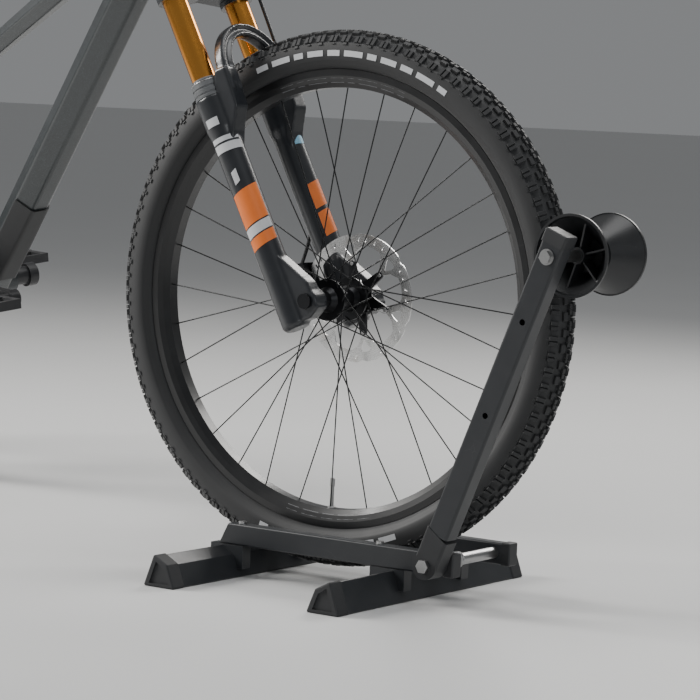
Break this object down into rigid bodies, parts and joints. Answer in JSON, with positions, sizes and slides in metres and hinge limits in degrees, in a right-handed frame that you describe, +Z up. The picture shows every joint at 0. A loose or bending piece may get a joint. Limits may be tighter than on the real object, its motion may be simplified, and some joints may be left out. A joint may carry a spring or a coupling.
{
  "type": "bicycle on stand",
  "caption": "Trail bicycle with suspension fork and disc brakes, held upright by its front wheel in a floor stand with a sprung roller arm.",
  "frame": {"origin": "on the floor, in the middle of the underside of the stand's front foot bar", "axes": "+X forward along the front wheel, +Y to the bicycle's left, +Z up"},
  "size_m": [2.0714, 0.8673, 1.0922],
  "materials": {
    "stand_paint": "satin dark grey powder coat",
    "foot_rubber": "matt moulded rubber",
    "cap_plastic": "matt moulded plastic",
    "zinc_steel": "zinc plated steel",
    "roller_plastic": "hard moulded plastic, slightly glossy",
    "tyre_rubber": "black tyre rubber",
    "rim_black": "gloss black",
    "spoke_black": "black steel",
    "hub_black": "black anodised",
    "rotor_steel": "ground steel",
    "fork_paint": "satin black paint",
    "seal_rubber": "matt rubber",
    "stanchion_gold": "gold anodised, polished",
    "hose_black": "satin black",
    "cockpit_black": "black anodised, bead blasted",
    "grip_rubber": "ribbed black rubber",
    "frame_paint": "satin graphite paint",
    "guard_plastic": "matt black plastic",
    "saddle_cover": "black synthetic leather",
    "drive_steel": "nickel plated steel",
    "pedal_plastic": "matt black composite"
  },
  "bodies": {
    "stand_base": {"foot_bars": "stand_paint", "foot_caps": "foot_rubber", "side_beams": "stand_paint", "beam_end_caps": "cap_plastic", "beam_saddles": "cap_plastic", "base_bolts": "zinc_steel", "pivot_shaft": "zinc_steel", "torsion_spring": "zinc_steel"},
    "stand_arm": {"arm_tube": "stand_paint", "arm_sleeve": "stand_paint", "arm_top_cap": "cap_plastic", "roller_axle": "zinc_steel"},
    "roller": {"roller_cone_right": "roller_plastic", "roller_cone_left": "roller_plastic"},
    "fork_lower": {"fork_lowers": "fork_paint", "fork_seals": "seal_rubber", "front_axle": "cockpit_black", "front_caliper": "hub_black", "front_hose_lower": "hose_black"},
    "front_wheel": {"front_tyre": "tyre_rubber", "front_rim": "rim_black", "front_spokes": "spoke_black", "front_hub": "hub_black", "front_rotor": "rotor_steel"},
    "fork_upper": {"stanchions": "stanchion_gold", "fork_crown": "fork_paint", "headset": "cockpit_black", "stem": "cockpit_black", "handlebar": "cockpit_black", "grips": "grip_rubber", "control_clamps": "cockpit_black", "front_hose_upper": "hose_black", "rear_control_hoses": "hose_black"},
    "brake_lever_right": {"brake_blade_right": "cockpit_black"},
    "brake_lever_left": {"brake_blade_left": "cockpit_black"},
    "shift_lever": {"shift_paddle": "cap_plastic"},
    "frame": {"head_tube": "frame_paint", "down_tube": "frame_paint", "top_tube": "frame_paint", "seat_tube": "frame_paint", "chain_stays": "frame_paint", "seat_stays": "frame_paint", "bottom_bracket_shell": "frame_paint", "down_tube_guard": "guard_plastic", "seat_clamp": "cockpit_black", "seatpost": "cockpit_black", "saddle": "saddle_cover", "rear_caliper": "hub_black", "rear_derailleur": "cockpit_black", "chain": "drive_steel"},
    "rear_wheel": {"rear_tyre": "tyre_rubber", "rear_rim": "rim_black", "rear_spokes": "spoke_black", "rear_hub": "hub_black", "rear_rotor": "rotor_steel"},
    "freehub_cassette": {"cassette": "drive_steel"},
    "crankset": {"crank_arms": "cockpit_black", "chainring": "drive_steel"},
    "right_pedal": {"pedal_right": "pedal_plastic"},
    "left_pedal": {"pedal_left": "pedal_plastic"}
  },
  "joints": [
    {"name": "arm_swing", "type": "hinge", "parent": "stand_base", "child": "stand_arm", "pos_m": [0.078, 0, 0.0605], "axis": [0, 1, 0], "range_deg": [0, 35], "stiffness_Nm_per_rad": 6, "springref_deg": -57.3},
    {"name": "roller_spin", "type": "hinge", "parent": "stand_arm", "child": "roller", "pos_m": [0.24256, 0, 0.48041], "axis": [0, 1, 0], "continuous": true},
    {"name": "bike_lift_out", "type": "slide", "parent": "stand_base", "child": "fork_lower", "axis": [-0.6, 0, 0.8], "range_m": [0, 0.3]},
    {"name": "front_wheel_spin", "type": "hinge", "parent": "fork_lower", "child": "front_wheel", "pos_m": [-0.1512, 0, 0.3933], "axis": [0, 1, 0], "continuous": true},
    {"name": "fork_travel", "type": "slide", "parent": "fork_lower", "child": "fork_upper", "axis": [0.4695, 0, -0.8829], "range_m": [0, 0.1], "stiffness_N_per_m": 9000, "springref_m": -0.03, "deforming": ["front_hose_upper"]},
    {"name": "steering", "type": "hinge", "parent": "fork_upper", "child": "frame", "pos_m": [-0.18828, 0, 0.37358], "axis": [-0.4695, 0, 0.8829], "range_deg": [-30, 62]},
    {"name": "rear_wheel_spin", "type": "hinge", "parent": "frame", "child": "rear_wheel", "pos_m": [-1.41432, 0.34624, 0.3685], "axis": [0.2684, 0.9527, 0.1427], "continuous": true},
    {"name": "cassette_spin", "type": "hinge", "parent": "frame", "child": "freehub_cassette", "pos_m": [-1.41432, 0.34624, 0.3685], "axis": [0.2684, 0.9527, 0.1427], "continuous": true},
    {"name": "crank_spin", "type": "hinge", "parent": "frame", "child": "crankset", "pos_m": [-0.99433, 0.23039, 0.35184], "axis": [0.2684, 0.9527, 0.1427], "continuous": true},
    {"name": "right_pedal_spin", "type": "hinge", "parent": "crankset", "child": "right_pedal", "pos_m": [-0.8306, 0.18475, 0.34851], "axis": [0.2684, 0.9527, 0.1427], "continuous": true},
    {"name": "left_pedal_spin", "type": "hinge", "parent": "crankset", "child": "left_pedal", "pos_m": [-1.15805, 0.27602, 0.35518], "axis": [0.2684, 0.9527, 0.1427], "continuous": true},
    {"name": "right_brake_squeeze", "type": "hinge", "parent": "fork_upper", "child": "brake_lever_right", "pos_m": [-0.47556, -0.22557, 1.04578], "axis": [0, 0, -1], "range_deg": [0, 18], "stiffness_Nm_per_rad": 1.5, "springref_deg": -8.59},
    {"name": "left_brake_squeeze", "type": "hinge", "parent": "fork_upper", "child": "brake_lever_left", "pos_m": [-0.47556, 0.22557, 1.04578], "axis": [0, 0, 1], "range_deg": [0, 18], "stiffness_Nm_per_rad": 1.5, "springref_deg": -8.59},
    {"name": "shift_push", "type": "hinge", "parent": "fork_upper", "child": "shift_lever", "pos_m": [-0.50039, -0.19381, 1.03255], "axis": [0, 0, 1], "range_deg": [0, 22], "stiffness_Nm_per_rad": 0.6, "springref_deg": -8.59}
  ],
  "couplings": [
    {"joint": "cassette_spin", "follows": "crank_spin", "ratio": 2}
  ]
}
